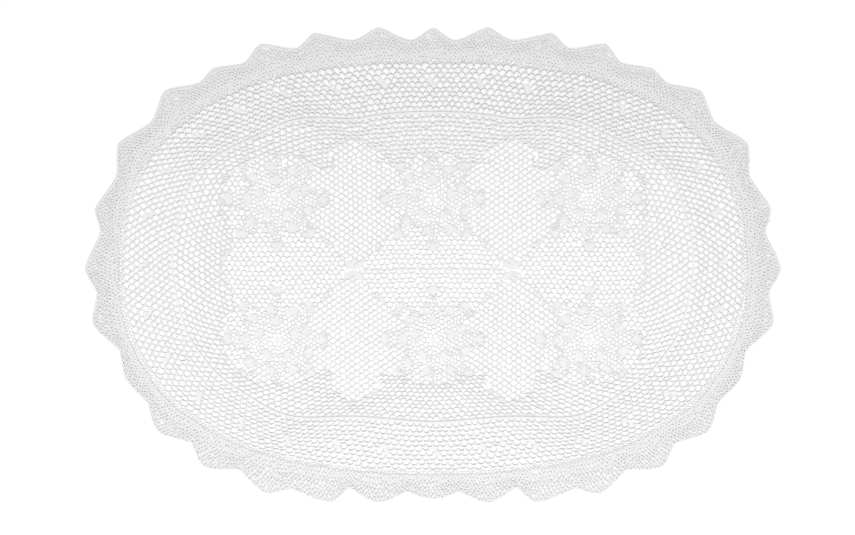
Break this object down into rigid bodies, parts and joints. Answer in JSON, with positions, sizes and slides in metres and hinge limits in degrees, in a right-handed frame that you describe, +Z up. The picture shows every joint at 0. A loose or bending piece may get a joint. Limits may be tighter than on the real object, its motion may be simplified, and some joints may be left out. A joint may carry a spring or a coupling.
{
  "type": "oval crocheted tablecloth",
  "caption": "Oval crocheted cotton tablecloth lying flat: an openwork net with star centres, flower motifs, a wavy ring and a scalloped edging.",
  "frame": {"origin": "middle of the cloth on its underside, where it rests on the table", "axes": "+X along the cloth's length, +Y across it towards the pointed scallops, +Z up out of the table"},
  "size_m": [1.6, 1.092, 0.0028],
  "materials": {
    "cotton": "matte white crocheted cotton"
  },
  "bodies": {
    "root": {"tablecloth": "cotton"}
  },
  "joints": []
}
